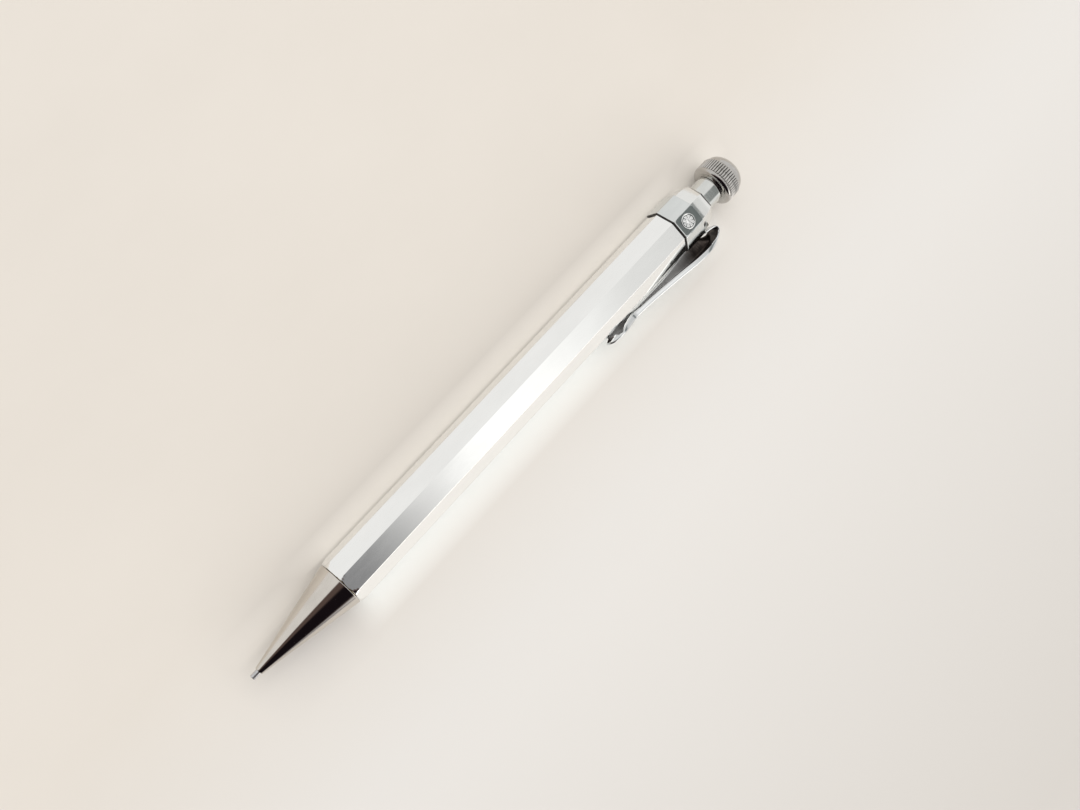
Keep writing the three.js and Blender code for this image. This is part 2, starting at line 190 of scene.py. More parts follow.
def outward(angle):
    """The unit step, as offsets in Y and Z, in a direction around the axis."""
    return Vector((math.sin(angle), math.cos(angle)))


def octagon(x, flat, corner, limit=None):
    """A loop around the axis with eight flats and rounded corners, no further out than limit."""
    arc_steps, flat_steps = 6, 12
    loop = []
    centre_distance = (flat - corner) / math.cos(EIGHTH / 2)
    for side in range(8):
        turn = side * EIGHTH
        normal = outward(turn)
        start, end = (outward(turn + half) * centre_distance for half in (-EIGHTH / 2, EIGHTH / 2))
        for k in range(flat_steps):
            loop.append((start + normal * corner).lerp(end + normal * corner, k / flat_steps))
        for k in range(arc_steps):
            loop.append(end + outward(turn + EIGHTH * k / arc_steps) * corner)
    if limit is not None:
        loop = [p * min(1.0, limit / p.length) for p in loop]
    return [on_axis(x, p.x, p.y) for p in loop]


def same_angles(loop, x, radius):
    """A circle whose points lie at the same angles as a loop's."""
    flat = [Vector((p.y - AXIS.y, p.z - AXIS.z)).normalized() * radius for p in loop]
    return [on_axis(x, p.x, p.y) for p in flat]


def give_second_material(piece, first, second, belongs):
    """Gives a piece two materials, and the second one to the faces that belong to it."""
    piece.data.materials.append(first)
    piece.data.materials.append(second)
    for face in piece.data.polygons:
        if belongs(face):
            face.material_index = 1
    return piece


def place(piece, body, nodes, slot, *materials):
    """Rides a piece on its body, in place of its CAD nodes, with any material it still lacks."""
    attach(piece, body)
    if nodes:
        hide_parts(*nodes)
    for material in materials:
        piece.data.materials.append(material)
    return piece


# ---------------------------------------------------------------- materials


def joined(tree, operation, first, second):
    """Joins two values with a math node."""
    node = tree.nodes.new("ShaderNodeMath")
    node.operation = operation
    tree.links.new(first, node.inputs[0])
    tree.links.new(second, node.inputs[1])
    return node.outputs["Value"]


def mixed(tree, factor, base, tint):
    """Goes from one colour to another as the factor rises. Each is a socket or three numbers."""
    node = tree.nodes.new("ShaderNodeMix")
    node.data_type = "RGBA"
    tree.links.new(factor, node.inputs["Factor"])
    for name, colour in (("A", base), ("B", tint)):
        if isinstance(colour, tuple):
            node.inputs[name].default_value = (*colour, 1)
        else:
            tree.links.new(colour, node.inputs[name])
    return node.outputs["Result"]


class Nodes:
    """A short way to write a material's node tree. Noise scales are in cycles per metre along
    X, Y and Z, so a low first number stretches the noise along the holder."""

    def __init__(self, name):
        self.material = bpy.data.materials.new(name)
        self.material.use_nodes = True
        self.tree = self.material.node_tree
        self.shader = self.tree.nodes["Principled BSDF"]
        self.coordinates = self.tree.nodes.new("ShaderNodeTexCoord").outputs["Object"]

    def set(self, **values):
        for key, value in values.items():
            self.shader.inputs[key.replace("_", " ")].default_value = value

    def link(self, source, target):
        self.tree.links.new(source, target)

    def axis(self, name):
        """One coordinate of each point: X, Y or Z."""
        node = self.tree.nodes.new("ShaderNodeSeparateXYZ")
        self.link(self.coordinates, node.inputs["Vector"])
        return node.outputs[name]

    def scaled(self, scale):
        node = self.tree.nodes.new("ShaderNodeMapping")
        node.inputs["Scale"].default_value = scale
        self.link(self.coordinates, node.inputs["Vector"])
        return node.outputs["Vector"]

    def noise(self, scale, detail=3.0, roughness=0.5, distortion=0.0):
        node = self.tree.nodes.new("ShaderNodeTexNoise")
        node.inputs["Scale"].default_value = 1.0
        node.inputs["Detail"].default_value = detail
        node.inputs["Roughness"].default_value = roughness
        node.inputs["Distortion"].default_value = distortion
        self.link(self.scaled(scale), node.inputs["Vector"])
        return node.outputs["Fac"]

    def remap(self, value, low, high, to_low, to_high):
        node = self.tree.nodes.new("ShaderNodeMapRange")
        settings = {"From Min": low, "From Max": high, "To Min": to_low, "To Max": to_high}
        for key, number in settings.items():
            node.inputs[key].default_value = number
        self.link(value, node.inputs["Value"])
        return node.outputs["Result"]

    def ramp(self, value, stops):
        node = self.tree.nodes.new("ShaderNodeValToRGB")
        elements = node.color_ramp.elements
        while len(elements) < len(stops):
            elements.new(0.5)
        for element, (position, colour) in zip(elements, stops):
            element.position = position
            element.color = (*colour, 1)
        self.link(value, node.inputs["Fac"])
        return node.outputs["Color"]

    def colours(self, value, low, dark, high, light):
        """Joins a ramp from a dark to a light tone to the shader's base colour."""
        self.link(self.ramp(value, [(low, dark), (high, light)]), self.shader.inputs["Base Color"])

    def bump(self, *layers):
        """Stacks (height, strength, distance in mm) bumps and joins them to the shader."""
        normal = None
        for height, strength, distance in layers:
            node = self.tree.nodes.new("ShaderNodeBump")
            node.inputs["Strength"].default_value = strength
            node.inputs["Distance"].default_value = distance * MM
            self.link(height, node.inputs["Height"])
            if normal is not None:
                self.link(normal, node.inputs["Normal"])
            normal = node.outputs["Normal"]
        self.link(normal, self.shader.inputs["Normal"])


def polished_metal(name, dark, light, smooth, rough):
    """Plated, buffed metal: faint buffing lines, slow waviness and smudges in its gloss."""
    m = Nodes(name)
    m.set(Metallic=1.0)
    smudges = m.noise((90, 240, 240), detail=4.0, roughness=0.6)
    m.colours(smudges, 0.3, dark, 0.7, light)
    gloss = m.noise((400, 1500, 1500), detail=4.0, roughness=0.65, distortion=0.6)
    m.link(m.remap(gloss, 0.3, 0.75, smooth, rough), m.shader.inputs["Roughness"])
    buffing = m.noise((60, 3000, 3000), detail=2.0)
    waves = m.noise((70, 420, 420), detail=1.0)
    m.bump((waves, 0.25, 0.02), (buffing, 0.04, 0.004))
    return m.material


def turned_metal(name, dark, light, smooth, rough):
    """Metal turned on a lathe: fine rings around the axis."""
    m = Nodes(name)
    m.set(Metallic=1.0)
    stains = m.noise((220, 420, 420), detail=4.0, roughness=0.6)
    m.colours(stains, 0.3, dark, 0.7, light)
    gloss = m.noise((2600, 500, 500), detail=4.0, roughness=0.6)
    m.link(m.remap(gloss, 0.3, 0.75, smooth, rough), m.shader.inputs["Roughness"])
    rings = m.noise((9000, 30, 30), detail=2.0)
    m.bump((rings, 0.05, 0.006))
    return m.material


def moulded(name, dark, light, smooth, rough, metallic=0.0):
    """Plastic, rubber, graphite, or dark painted shade, with a fine mottled surface."""
    m = Nodes(name)
    m.set(Metallic=metallic)
    mottle = m.noise((750, 750, 750), detail=4.0)
    m.colours(mottle, 0.3, dark, 0.7, light)
    pores = m.noise((3000, 3000, 3000), detail=3.0)
    m.link(m.remap(pores, 0.3, 0.7, smooth, rough), m.shader.inputs["Roughness"])
    m.bump((pores, 0.15, 0.02))
    return m.material


def unpolished_sheet(name):
    """The clip's inner face: dull plate, with painted shade, dark, under the fold and in the toe."""
    fold_edge, fold_full = 81.5, 87.0
    toe_edge, toe_full = 63.9, 62.9
    m = Nodes(name)
    m.set(Metallic=0.85)
    x = m.axis("X")
    fold = m.remap(x, BARREL_FRONT + fold_edge * MM, BARREL_FRONT + fold_full * MM, 0, 1)
    toe = m.remap(x, BARREL_FRONT + toe_edge * MM, BARREL_FRONT + toe_full * MM, 0, 1)
    # Painted shade: the inner face turns dark under the fold and in the toe.
    painted_shade = joined(m.tree, "MAXIMUM", fold, toe)
    grain = m.noise((2600, 900, 900), detail=4.0, roughness=0.6)
    open_tone = m.ramp(grain, [(0.3, (0.56, 0.555, 0.55)), (0.7, (0.68, 0.675, 0.67))])
    painted_shade_tone = m.ramp(grain, [(0.35, (0.05, 0.042, 0.038)), (0.7, (0.16, 0.13, 0.115))])
    m.link(mixed(m.tree, painted_shade, open_tone, painted_shade_tone), m.shader.inputs["Base Color"])
    m.link(m.remap(grain, 0.2, 0.8, 0.28, 0.42), m.shader.inputs["Roughness"])
    m.bump((grain, 0.1, 0.04))
    return m.material


# Each metal and plastic has its darkest and lightest tone, then its smoothest and roughest gloss.
barrel_metal = polished_metal("barrel_metal", (0.865, 0.865, 0.85), (0.905, 0.905, 0.89), 0.05, 0.12)
bush_metal = polished_metal("bush_metal", (0.78, 0.78, 0.76), (0.83, 0.83, 0.81), 0.08, 0.16)
band_metal = polished_metal("band_metal", (0.66, 0.68, 0.67), (0.72, 0.74, 0.73), 0.06, 0.14)
clip_metal = polished_metal("clip_metal", (0.66, 0.67, 0.67), (0.74, 0.75, 0.75), 0.05, 0.12)
cone_chrome = turned_metal("cone_chrome", (0.60, 0.565, 0.52), (0.67, 0.63, 0.58), 0.05, 0.1)
neck_chrome = turned_metal("neck_chrome", (0.66, 0.67, 0.65), (0.72, 0.73, 0.71), 0.05, 0.1)
knob_chrome = turned_metal("knob_chrome", (0.46, 0.445, 0.425), (0.56, 0.545, 0.525), 0.06, 0.16)
drawn_steel = turned_metal("drawn_steel", (0.50, 0.50, 0.51), (0.62, 0.62, 0.63), 0.18, 0.34)
turned_brass = turned_metal("turned_brass", (0.66, 0.50, 0.22), (0.82, 0.66, 0.32), 0.16, 0.32)
raw_sheet_painted_shade = unpolished_sheet("raw_sheet_painted_shade")
# Painted shade: a dark metal for the shade in the knurl's grooves and in the gap at the band's front lip.
painted_shade_metal = moulded("painted_shade_metal", (0.03, 0.028, 0.025), (0.09, 0.085, 0.08), 0.4, 0.6, metallic=0.6)
etched_metal = moulded("etched_metal", (0.16, 0.18, 0.175), (0.22, 0.24, 0.235), 0.3, 0.42, metallic=1.0)
rosette_metal = polished_metal("rosette_metal", (0.86, 0.86, 0.85), (0.93, 0.93, 0.92), 0.08, 0.2)
acetal = moulded("acetal", (0.80, 0.77, 0.71), (0.88, 0.86, 0.81), 0.35, 0.5)
nitrile = moulded("nitrile", (0.015, 0.015, 0.017), (0.04, 0.04, 0.042), 0.6, 0.8)
eraser_rubber = moulded("eraser_rubber", (0.82, 0.81, 0.79), (0.92, 0.91, 0.90), 0.75, 0.95)
graphite = moulded("graphite", (0.03, 0.03, 0.032), (0.07, 0.07, 0.075), 0.3, 0.5, metallic=0.4)


# ---------------------------------------------------------------- barrel and nose

BORE = 3.3 * MM
BAND_SEAT_FLAT = BARREL_FLAT - 0.12 * MM  # the facets step down under the band
CORNER = 0.2 * MM  # the rounding between two facets
CONE_BASE = reach("nose_cone")
CONE_FRONT, CONE_BACK = span("nose_cone")
CONE_TIP_RADIUS = 0.7 * MM
LEAD_BORE = 0.32 * MM
RETAINER_BORE = 0.3 * MM
CONE_SLOPE = (CONE_BASE - CONE_TIP_RADIUS) / (CONE_BACK - CONE_FRONT)


def cone_radius(x):
    return CONE_BASE + CONE_SLOPE * (x - CONE_BACK)


def make_barrel():
    """The octagonal tube, with the cone's turned surface carried over its front corners."""
    sections = []
    scallop = 1.9 * MM
    steps = 30
    lip = 0.06 * MM
    mouth = 0.2 * MM
    for i in range(steps + 1):
        x = BARREL_FRONT + scallop * i / steps
        limit = cone_radius(x) - (lip if i == 0 else 0)
        sections.append(octagon(x, BARREL_FLAT, CORNER, limit))
    seat = BAND_FRONT - 0.05 * MM
    for share in (0.1, 0.3, 0.5, 0.7, 0.9):
        x = BARREL_FRONT + scallop + (seat - BARREL_FRONT - scallop) * share
        sections.append(octagon(x, BARREL_FLAT, CORNER))
    sections.append(octagon(seat - lip, BARREL_FLAT, CORNER))
    sections.append(octagon(seat, BARREL_FLAT - lip, CORNER))
    sections.append(octagon(seat + 0.01 * MM, BAND_SEAT_FLAT, CORNER))
    sections.append(octagon(BARREL_BACK - lip, BAND_SEAT_FLAT, CORNER))
    sections.append(octagon(BARREL_BACK, BAND_SEAT_FLAT - lip, CORNER))
    back, front = sections[-1], sections[0]
    sections.append(same_angles(back, BARREL_BACK, BORE))
    sections.append(same_angles(front, BARREL_FRONT + mouth, BORE))
    sections.append(same_angles(front, BARREL_FRONT, BORE + mouth))
    return loft("barrel_tube", sections, ring=True)


def make_nose_cone():
    """A straight turned cone with a small rounded lip, bored in steps for what it holds."""
    sleeve_bore = reach("lead_sleeve") + 0.05 * MM
    steps = ((BORE, 0, 2.95), (2.0 * MM, 2.95, 5.4), (1.6 * MM, 5.4, 10.55), (0.95 * MM, 10.55, 14.05))
    profile = [
        (CONE_FRONT, sleeve_bore),
        (CONE_FRONT, CONE_TIP_RADIUS - 0.05 * MM),
        (CONE_FRONT + 0.1 * MM, CONE_TIP_RADIUS + 0.03 * MM),
        (CONE_BACK - 0.1 * MM, CONE_BASE - 0.02 * MM),
        (CONE_BACK, CONE_BASE - 0.12 * MM),
    ]
    for bore, near, deep in steps:
        profile += [(CONE_BACK - near * MM, bore), (CONE_BACK - deep * MM, bore)]
    profile.append((CONE_BACK - steps[-1][2] * MM, sleeve_bore))
    return turned_ring("turned_nose_cone", profile, sides=128, edge=0.04 * MM)


place(make_barrel(), "barrel_unit", ["barrel"], "barrel_metal", barrel_metal)
place(make_nose_cone(), "nose_unit", ["nose_cone"], "bright_chrome", cone_chrome)

sleeve = tube("drawn_lead_sleeve", "lead_sleeve", LEAD_BORE, sides=48, edge=0.09 * MM)
place(sleeve, "nose_unit", ["lead_sleeve"], "steel", drawn_steel)
retainer = tube("rubber_lead_retainer", "lead_retainer", RETAINER_BORE, sides=48)
place(retainer, "nose_unit", ["lead_retainer"], "nitrile", nitrile)


# ---------------------------------------------------------------- top end


def make_clip_band():
    """Thin octagonal sheet wrapped around the barrel, with a rolled front lip, painted dark as the shade
    of the gap between that lip and the barrel."""
    inner = BAND_SEAT_FLAT + 0.05 * MM
    edge = 0.1 * MM
    lip, lip_steps = 0.26 * MM, 6
    lip_length = 1.3 * lip
    painted_shade_back = BAND_FRONT + 0.14 * MM
    sections = [octagon(BAND_FRONT, inner, CORNER)]
    for k in range(lip_steps + 1):
        a = QUARTER * k / lip_steps
        x = BAND_FRONT + lip_length * (1 - math.cos(a))
        sections.append(octagon(x, BAND_FLAT - lip * (1 - math.sin(a)), CORNER * (1.3 + 0.1 * k)))
    sections += [
        octagon(BAND_BACK - edge, BAND_FLAT, CORNER * 1.9),
        octagon(BAND_BACK - edge * 0.3, BAND_FLAT - edge * 0.3, CORNER * 1.8),
        octagon(BAND_BACK, BAND_FLAT - edge, CORNER * 1.7),
        octagon(BAND_BACK, inner, CORNER),
    ]
    band = loft("wrapped_clip_band", sections, ring=True)
    # The front lip's faces get painted shade, for the dark gap at the barrel.
    return give_second_material(band, band_metal, painted_shade_metal, lambda face: face.center.x < painted_shade_back)


def make_end_bush():
    """A faceted dome over the barrel's end, bored for the neck."""
    start, end = span("end_bush")
    gap = 0.05 * MM
    shoulder = BARREL_BACK + gap
    bore = reach("push_neck") + 0.1 * MM
    rim = bore + 0.1 * MM
    flat = BARREL_FLAT - gap
    spigot = BORE - 0.1 * MM
    steps = 14
    sections = [octagon(shoulder, flat - gap, CORNER)]
    for i in range(steps + 1):
        a = QUARTER * i / steps
        x = shoulder + gap + (end - shoulder - gap) * math.sin(a)
        sections.append(octagon(x, rim + (flat - rim) * math.cos(a), CORNER))
    last, first = sections[-1], sections[0]
    sections.append(same_angles(last, end - 0.15 * MM, bore))
    sections.append(same_angles(first, start, bore))
    sections.append(same_angles(first, start, spigot))
    sections.append(same_angles(first, shoulder, spigot))
    return loft("faceted_end_bush", sections, ring=True)


KNURL_TEETH = 50
POINTS_PER_TOOTH = 8
TOOTH_DEPTH = 0.24 * MM


def knurled_loop(x, radius, depth=0.0):
    """A circle with straight rounded teeth cut into it."""
    loop = []
    for angle in even_angles(KNURL_TEETH * POINTS_PER_TOOTH):
        tooth = abs(math.cos(angle * KNURL_TEETH / 2)) ** 0.7
        loop.append(around(x, radius - depth * (1 - tooth), angle))
    return loop


def make_knob():
    """Round underside, narrow groove, knurled band and low dome, on a plug with a ring groove."""
    plug_front, top = span("knurled_cap")
    rim = reach("knurled_cap")
    under = span("push_neck")[1] + 0.05 * MM
    foot = reach("push_neck") + 0.15 * MM
    grip_front, grip_back = span("cap_grip_ring")
    plug, chamfer, ring_seat, play = 1.93 * MM, 0.2 * MM, 1.5 * MM, 0.1 * MM
    bead_x = under + 0.78 * MM
    groove_x = bead_x + 0.14 * MM
    knurl_front = groove_x + 0.1 * MM
    knurl_back = knurl_front + 2.4 * MM
    plain = [
        (plug_front, chamfer),
        (plug_front, plug - chamfer),
        (plug_front + chamfer, plug),
        (grip_front - play, plug),
        (grip_front - play, ring_seat),
        (grip_back + play, ring_seat),
        (grip_back + play, plug),
        (under, plug),
        (under, foot - 0.1 * MM),
    ]
    swell_steps = 12
    for i in range(swell_steps + 1):
        a = QUARTER * i / swell_steps
        plain.append((bead_x - (bead_x - under) * math.cos(a), foot + (rim - foot) * math.sin(a)))
    plain += [(groove_x - 0.06 * MM, rim - 0.03 * MM), (groove_x, rim - 0.14 * MM)]
    sections = [knurled_loop(x, r) for x, r in plain]
    # Where each row of the knurl lies, how far below the rim in mm, and its share of a full tooth.
    for x, drop, share in (
        (knurl_front - 0.04 * MM, 0.14, 0.1),
        (knurl_front, 0.08, 0.6),
        (knurl_front + 0.12 * MM, 0.0, 1.0),
        (knurl_back - 0.15 * MM, 0.0, 1.0),
        (knurl_back, 0.08, 0.6),
        (knurl_back + 0.06 * MM, 0.2, 0.1),
    ):
        sections.append(knurled_loop(x, rim - drop * MM, share * TOOTH_DEPTH))
    dome_front, dome_radius = knurl_back + 0.12 * MM, rim - 0.25 * MM
    dome_steps, dome_end = 16, 0.985
    for i in range(dome_steps + 1):
        a = QUARTER * i / dome_steps * dome_end
        x = dome_front + (top - dome_front) * math.sin(a)
        sections.append(knurled_loop(x, dome_radius * math.cos(a)))
    knob = loft("turned_knurled_cap", sections, smooth_angle=40)
    # The faces deep between the knurl's teeth get painted shade.
    valley = rim - 0.62 * TOOTH_DEPTH

    def between_teeth(face):
        distance = math.hypot(face.center.y - AXIS.y, face.center.z - AXIS.z)
        return knurl_front < face.center.x < knurl_back and distance < valley

    return give_second_material(knob, knob_chrome, painted_shade_metal, between_teeth)


place(make_clip_band(), "barrel_unit", ["clip_band"], "bright_chrome")
place(make_end_bush(), "barrel_unit", ["end_bush"], "barrel_metal", bush_metal)
neck = tube("turned_push_neck", "push_neck", 2.05 * MM, sides=128, edge=0.08 * MM)
place(neck, "push_unit", ["push_neck"], "bright_chrome", neck_chrome)
place(make_knob(), "cap", ["knurled_cap"], "bright_chrome")


# ---------------------------------------------------------------- pocket clip


def smooth_rows(rows, steps):
    """Catmull-Rom blend of whole rows of numbers, with a few steps from each row to the next."""
    result = []
    for i in range(len(rows) - 1):
        quad = (rows[max(i - 1, 0)], rows[i], rows[i + 1], rows[min(i + 2, len(rows) - 1)])
        for k in range(steps):
            t = k / steps
            row = []
            for a, b, c, d in zip(*quad):
                cubic = (3 * b - a - 3 * c + d) * t**3
                row.append(0.5 * (2 * b + (c - a) * t + (2 * a - 5 * b + 4 * c - d) * t * t + cubic))
            result.append(row)
    result.append(list(rows[-1]))
    return result


# The clip is worked out in mm, from the cone's back: the sheet's thickness, the inner bends of
# its sides and lips, and the gap between cone and barrel. CLIP_POINTS go from the middle of its
# face to one lip.
SHEET = 0.36
FACE_BEND = 0.45
LIP_BEND = 0.55
JOINT_GAP = 0.05
CLIP_POINTS = 22

# Stations along the clip's outer face, from the toe up over the hump and round the fold to the
# band. Each has: mm behind the cone, distance from the axis, half width, the angle of the side
# bend, the straight flange, the angle of the lip's curl, the straight lip, how much wider the
# lower flange is, and how much of the upper flange is cut away, from 0 to 1.
# The lower flange is widened under the fold, so its inner face, painted dark as shade, fills the clip's
# hollow.
CLIP_ROWS = [
    (62.05, 6.10, 0.90, 85, 0.35, 60, 0.10, 0.0, 0.8),
    (63.2, 6.48, 1.30, 90, 0.60, 80, 0.25, 0.0, 1.0),
    (65.0, 6.62, 1.50, 90, 0.75, 85, 0.45, 0.0, 1.0),
    (66.9, 6.55, 1.35, 90, 0.60, 75, 0.22, 0.0, 0.5),
    (69.0, 6.42, 1.00, 90, 0.50, 25, 0.05, 0.0, 0.0),
    (70.8, 6.45, 1.05, 90, 0.45, 5, 0.02, 0.0, 0.0),
    (74.4, 6.68, 1.35, 90, 0.45, 2, 0.02, 0.1, 0.0),
    (79.1, 7.12, 1.75, 90, 0.45, 2, 0.02, 0.4, 0.0),
    (81.9, 7.44, 1.95, 90, 0.45, 2, 0.02, 0.9, 0.0),
    (84.8, 7.80, 2.10, 90, 0.42, 2, 0.02, 1.5, 0.0),
    (87.7, 7.95, 2.15, 88, 0.36, 2, 0.02, 1.8, 0.0),
    (89.7, 7.77, 2.12, 76, 0.28, 2, 0.02, 2.0, 0.0),
    (91.2, 7.22, 2.06, 50, 0.16, 1, 0.02, 1.5, 0.0),
    (92.4, 6.30, 1.98, 16, 0.05, 1, 0.02, 0.2, 0.0),
    (92.65, 5.55, 1.94, 4, 0.03, 1, 0.02, 0.0, 0.0),
    (92.3, 4.98, 1.90, 2, 0.02, 1, 0.02, 0.0, 0.0),
    (91.4, 4.66, 1.86, 2, 0.02, 1, 0.02, 0.0, 0.0),
    (90.0, 4.42, 1.82, 2, 0.02, 1, 0.02, 0.0, 0.0),
]


def half_section(half_width, bend, flange, curl, lip):
    """Points and outward normals, as (depth, height) pairs, from the middle of the face to the lip."""
    bend, curl = math.radians(bend), math.radians(curl)
    face = half_width - FACE_BEND * math.sin(bend) - flange * math.cos(bend)
    # Each leg of the outline has a length and a curvature.
    legs = (
        (face, 0),
        (FACE_BEND * bend, 1 / FACE_BEND),
        (flange, 0),
        (LIP_BEND * curl, 1 / LIP_BEND),
        (lip, 0),
    )
    total = sum(length for length, _ in legs)
    result = []
    for i in range(CLIP_POINTS):
        left = total * i / (CLIP_POINTS - 1)
        depth = height = heading = 0.0
        for length, curvature in legs:
            part = min(length, left)
            left -= part
            if curvature:
                turned_to = heading + part * curvature
                height += (math.sin(turned_to) - math.sin(heading)) / curvature
                depth += (math.cos(heading) - math.cos(turned_to)) / curvature
                heading = turned_to
            else:
                height += part * math.cos(heading)
                depth += part * math.sin(heading)
        result.append(((depth, height), (-math.cos(heading), math.sin(heading))))
    return result


def sheet_half(half):
    """Outside, round edge and inside of half a bent sheet, from its middle to its free edge."""
    edge_steps = 4
    outside = [point for point, _ in half]
    inside = [(depth - nd * SHEET, height - nh * SHEET) for (depth, height), (nd, nh) in half]
    (depth, height), (nd, nh) = half[-1]
    middle = (depth - nd * SHEET / 2, height - nh * SHEET / 2)
    edge = []
    for k in range(1, edge_steps):
        a = math.pi * k / edge_steps
        across, along = math.cos(a) * SHEET / 2, math.sin(a) * SHEET / 2
        edge.append((middle[0] + nd * across + nh * along, middle[1] + nh * across - nd * along))
    return outside, edge, inside


def sheet_loop(upper, lower):
    """The closed outline of a bent sheet, given by its upper half and its mirrored lower half."""

    def mirror(points):
        return [(d, -h) for d, h in points]

    outside, edge, inside = sheet_half(upper)
    low_outside, low_edge, low_inside = (mirror(points) for points in sheet_half(lower))
    left = low_outside[:0:-1]
    right = outside + edge + inside[::-1]
    return left + right + low_inside[1:] + low_edge[::-1]


def make_clip_tongue():
    """One strip of sheet, pressed into a channel, rolled into a toe and folded back to the band."""
    rows = smooth_rows(CLIP_ROWS, 6)
    toe_x, toe_length, toe_cut_back = CLIP_ROWS[0][0], 3.5, 1.9
    full_depth = 0.6
    least_angle, most_open = 0.5, 0.98
    sections = []
    for i, (x, distance, half_width, bend, flange, curl, lip, extra, opening) in enumerate(rows):
        before, after = rows[max(i - 1, 0)], rows[min(i + 1, len(rows) - 1)]
        along = Vector((after[0] - before[0], after[1] - before[1])).normalized()
        inward = Vector((along.y, -along.x))
        left = 1 - min(max(opening, 0), most_open)
        bend = max(bend, least_angle)
        upper = half_section(half_width, bend, flange * left, max(curl * left, least_angle), lip * left)
        flange += max(extra, 0)
        lower = half_section(half_width, bend, flange, max(curl, least_angle), lip)
        in_toe = max(0.0, 1 - (x - toe_x) / toe_length) if i < len(rows) / 2 else 0.0
        section = []
        for depth, height in sheet_loop(upper, lower):
            side = min(1.0, abs(height) / half_width) * min(1.0, depth / full_depth)
            cut_back = toe_cut_back * in_toe * max(0.0, side) ** 2
            spot = Vector((x + cut_back, distance)) + inward * depth
            section.append(on_axis(BARREL_FRONT + (spot.x - JOINT_GAP) * MM, -spot.y * MM, height * MM))
        sections.append(section)
    return skin_sheet("folded_clip_tongue", sections)


def skin_sheet(name, sections):
    """Skins bent-sheet outlines and closes the two ends with strips from the outside to the inside."""
    count = len(sections[0])
    points = [p for section in sections for p in section]
    faces = []
    for row in range(len(sections) - 1):
        for k in range(count):
            j = (k + 1) % count
            low, high = row * count, (row + 1) * count
            faces.append((low + k, low + j, high + j, high + k))
    outer_count = 2 * CLIP_POINTS - 1
    edge_count = (count - 2 * outer_count) // 2
    inside_first = outer_count + edge_count
    inside_last = inside_first + outer_count - 1
    for start in (0, (len(sections) - 1) * count):
        for k in range(outer_count - 1):
            across = start + inside_last - k
            faces.append((start + k, start + k + 1, across - 1, across))
        faces.append([start + m for m in range(outer_count - 1, inside_first + 1)])
        faces.append([start + m for m in range(inside_last, count)] + [start])
    piece = make_object(name, points, faces, smooth_angle=40)

    def inner(face):
        places = [k % count for k in face.vertices]
        return len(places) == 4 and inside_first <= min(places) and max(places) <= inside_last

    # The inner faces get the dull sheet, painted dark with shade under the fold and in the toe.
    give_second_material(piece, clip_metal, raw_sheet_painted_shade, inner)
    bevel = piece.modifiers.new("soft_edges", "BEVEL")
    bevel.width = SOFT_EDGE
    bevel.segments = 2
    bevel.limit_method = "ANGLE"
    bevel.angle_limit = math.radians(60)
    piece.modifiers.move(len(piece.modifiers) - 1, 0)
    return piece


BAND_MIDDLE = (BAND_FRONT + BAND_BACK) / 2
BAND_TOP = AXIS.z + BAND_FLAT


def flat_loop(outline, z):
    """A closed outline in X and Y about the middle of the band's top facet."""
    return [Vector((BAND_MIDDLE + x, AXIS.y + y, z)) for x, y in outline]


def make_badge_field():
    """A thin etched panel with round corners on the band's top facet."""
    half_length, half_width, corner = 2.3 * MM, 1.74 * MM, 0.45 * MM
    shift = 0.2 * MM
    corner_steps = 8
    outline = []
    for quarter, (sx, sy) in enumerate(((1, 1), (-1, 1), (-1, -1), (1, -1))):
        for k in range(corner_steps + 1):
            a = QUARTER * (quarter + k / corner_steps)
            x = sx * (half_length - corner) + corner * math.cos(a)
            y = sy * (half_width - corner) + corner * math.sin(a)
            outline.append((x, y))
    loops = []
    for share, height in ((1.0, -0.03), (1.0, 0.008), (0.985, 0.02)):
        loop = [(x * share + shift, y * share) for x, y in outline]
        loops.append(flat_loop(loop, BAND_TOP + height * MM))
    return loft("etched_badge_field", loops, smooth_angle=25)


PETALS = 8


def make_rosette():
    """A plain round rosette: a raised rim, eight petals and a button in the middle."""
    steps = PETALS * 12
    # Radius and height in mm: the rim, the petals' slope and the button.
    profile = [(1.42, 0.0), (1.42, 0.06), (1.38, 0.085), (1.28, 0.085), (1.22, 0.05)]
    profile += [(1.1 - 0.07 * k, 0.05) for k in range(9)]
    profile += [(0.44, 0.09), (0.3, 0.12), (0.12, 0.13), (0.02, 0.13)]
    petal_outer, petal_inner, petal_fade, petal_height = 1.16, 0.46, 0.1, 0.05
    bright_from = BAND_TOP + 0.066 * MM
    loops = []
    for radius, height in profile:
        loop = []
        edges = ((petal_outer - radius) / petal_fade, (radius - petal_inner) / petal_fade)
        petal_zone = max(0.0, min(1.0, *edges))
        for a in even_angles(steps):
            petal = abs(math.cos(a * PETALS / 2))
            z = height + petal_height * petal_zone * petal
            spot = Vector((math.cos(a), math.sin(a))) * radius * MM
            loop.append(Vector((BAND_MIDDLE + spot.x, AXIS.y + spot.y, BAND_TOP + z * MM)))
        loops.append(loop)
    rosette = loft("band_rosette", loops, smooth_angle=30)
    return give_second_material(
        rosette, rosette_metal, etched_metal, lambda face: face.center.z < bright_from
    )


place(make_clip_tongue(), "clip", ["clip_tongue"], "bright_chrome")
place(make_badge_field(), "barrel_unit", [], "bright_chrome", etched_metal)
place(make_rosette(), "barrel_unit", [], "bright_chrome")


# ---------------------------------------------------------------- chuck, clutch and spring

SPRING_SEAT = BARREL_FRONT + 5.95 * MM
THREAD_DEPTH = 0.14 * MM
THREAD_PITCH = 0.6 * MM


def thread_loop(x, radius, depth):
    """A circle whose radius follows a helical thread."""
    loop = []
    for angle in even_angles(96):
        crest = 0.5 + 0.5 * math.cos(TURN * x / THREAD_PITCH + angle)
        loop.append(around(x, radius - depth * (1 - crest), angle))
    return loop


